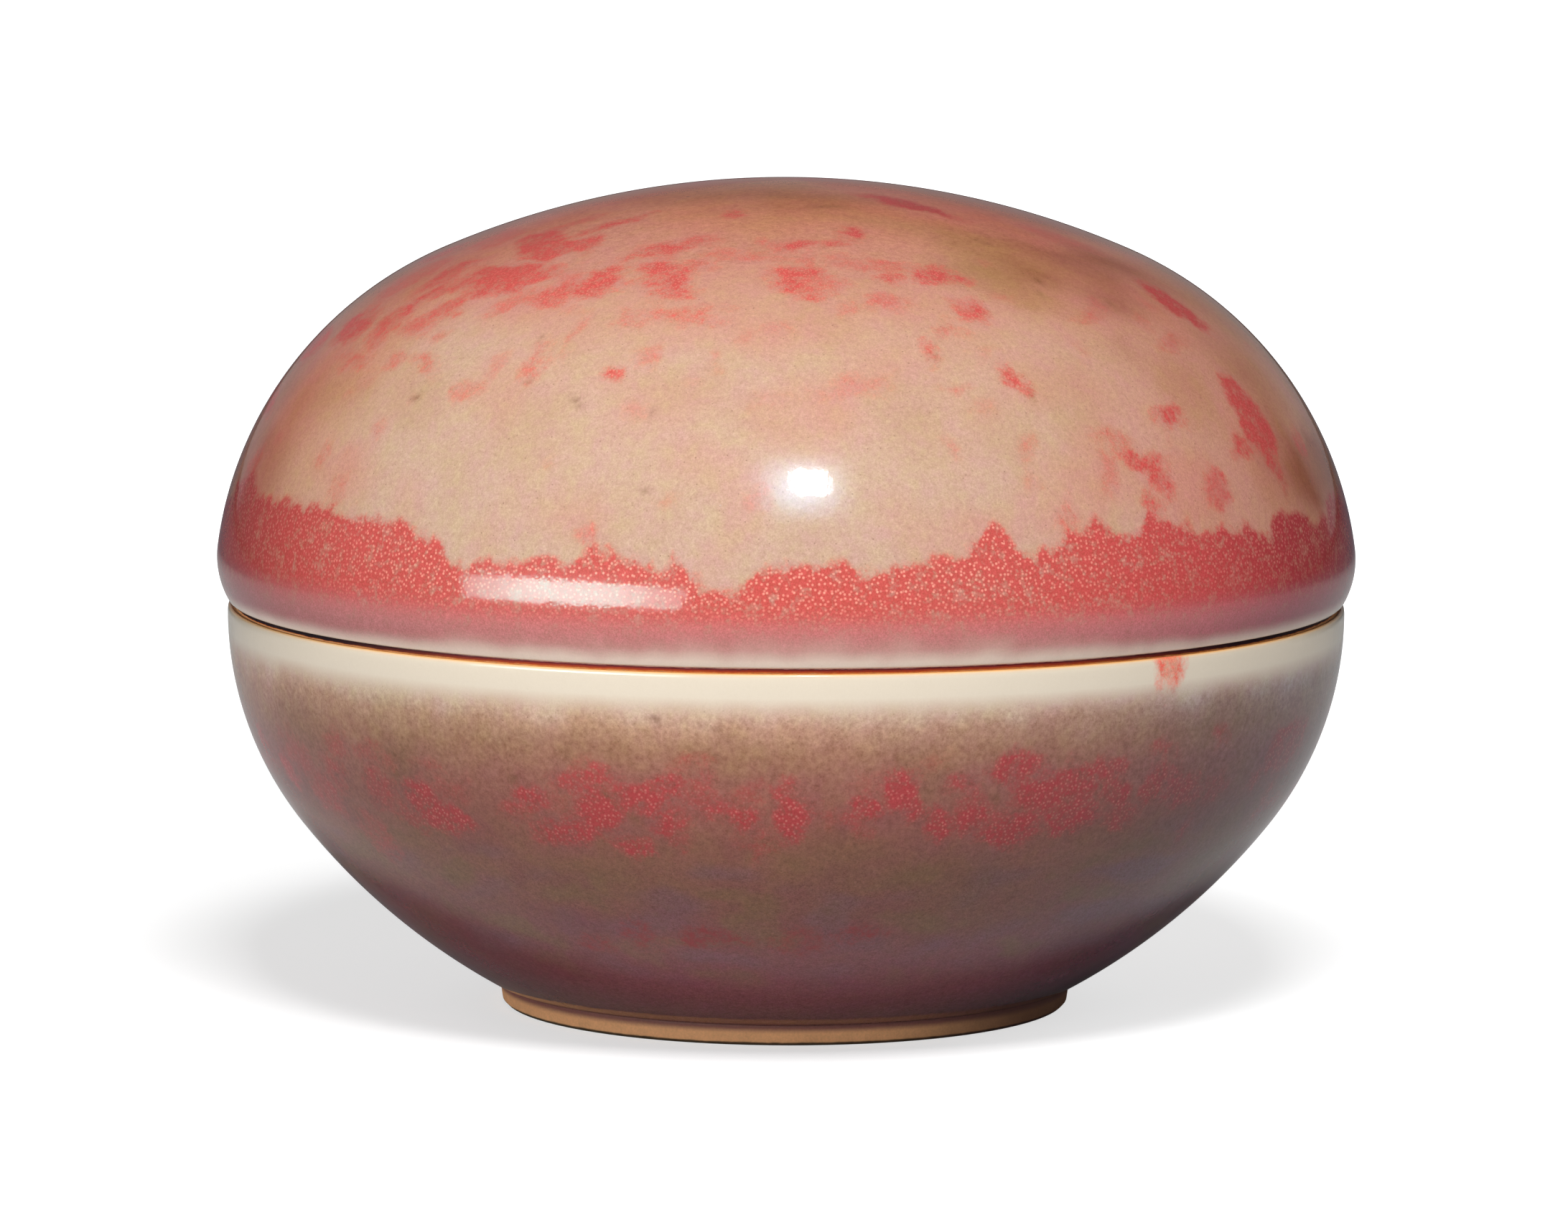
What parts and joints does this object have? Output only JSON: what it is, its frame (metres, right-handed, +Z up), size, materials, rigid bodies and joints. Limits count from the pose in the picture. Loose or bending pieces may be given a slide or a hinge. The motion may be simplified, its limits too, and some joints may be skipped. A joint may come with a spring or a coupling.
{
  "type": "seal paste box",
  "caption": "Low round porcelain box with a domed lift-off cover, copper-red mottled glaze, an upright flange inside the rim and a cake of red seal paste in the bowl.",
  "frame": {"origin": "centre of the foot ring, in the plane that the box stands on", "axes": "+Z up along the turning axis; -Y is the side that the picture shows and +X is to its right"},
  "size_m": [0.072, 0.072, 0.0522],
  "materials": {
    "bare_porcelain": "matte",
    "mottled_red_glaze": "gloss",
    "white_glaze": "gloss",
    "seal_paste": "satin"
  },
  "bodies": {
    "box": {"box_body": "bare_porcelain", "box_outer_glaze": "mottled_red_glaze", "box_lining_glaze": "white_glaze", "base_glaze": "white_glaze", "seal_paste": "seal_paste"},
    "cover": {"cover_body": "bare_porcelain", "cover_outer_glaze": "mottled_red_glaze", "cover_lining_glaze": "white_glaze"}
  },
  "joints": [
    {"name": "cover_lift", "type": "slide", "parent": "box", "child": "cover", "axis": [0, 0, 1], "range_m": [0, 0.06]}
  ]
}
